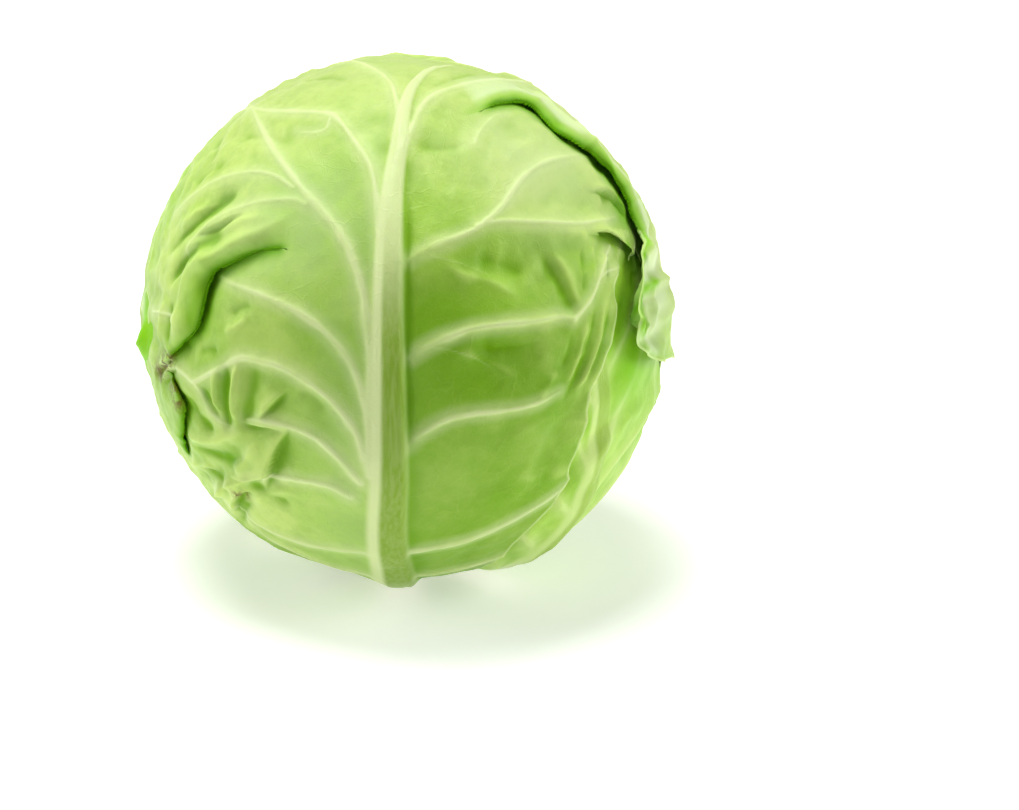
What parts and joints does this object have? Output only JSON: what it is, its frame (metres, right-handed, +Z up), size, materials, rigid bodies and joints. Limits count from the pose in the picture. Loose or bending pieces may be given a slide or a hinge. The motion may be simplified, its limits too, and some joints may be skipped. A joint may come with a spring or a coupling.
{
  "type": "cabbage head",
  "caption": "Whole round green cabbage head with veined, pleated wrapper leaves folded over a solid heart, resting upright on its cut stem.",
  "frame": {"origin": "on the surface that the head rests on, under the middle of the bounding box", "axes": "+Z is up, from the cut stem to the crown; -Y faces the viewer of the picture, across the front leaf's midrib; +X is the viewer's right"},
  "size_m": [0.1778, 0.1744, 0.1763],
  "materials": {
    "stem": "matt cut face, slightly moist",
    "heart": "waxy satin",
    "crown_leaf": "waxy satin",
    "back_leaf": "waxy satin",
    "right_leaf": "waxy satin",
    "left_leaf": "waxy satin",
    "back_right_leaf": "waxy satin",
    "front_leaf": "waxy satin, pale wax bloom low on its left side"
  },
  "bodies": {
    "root": {"cut_stem": "stem", "heart": "heart", "crown_leaf": "crown_leaf", "back_leaf": "back_leaf", "right_leaf": "right_leaf", "left_leaf": "left_leaf", "back_right_leaf": "back_right_leaf", "front_leaf": "front_leaf"}
  },
  "joints": []
}
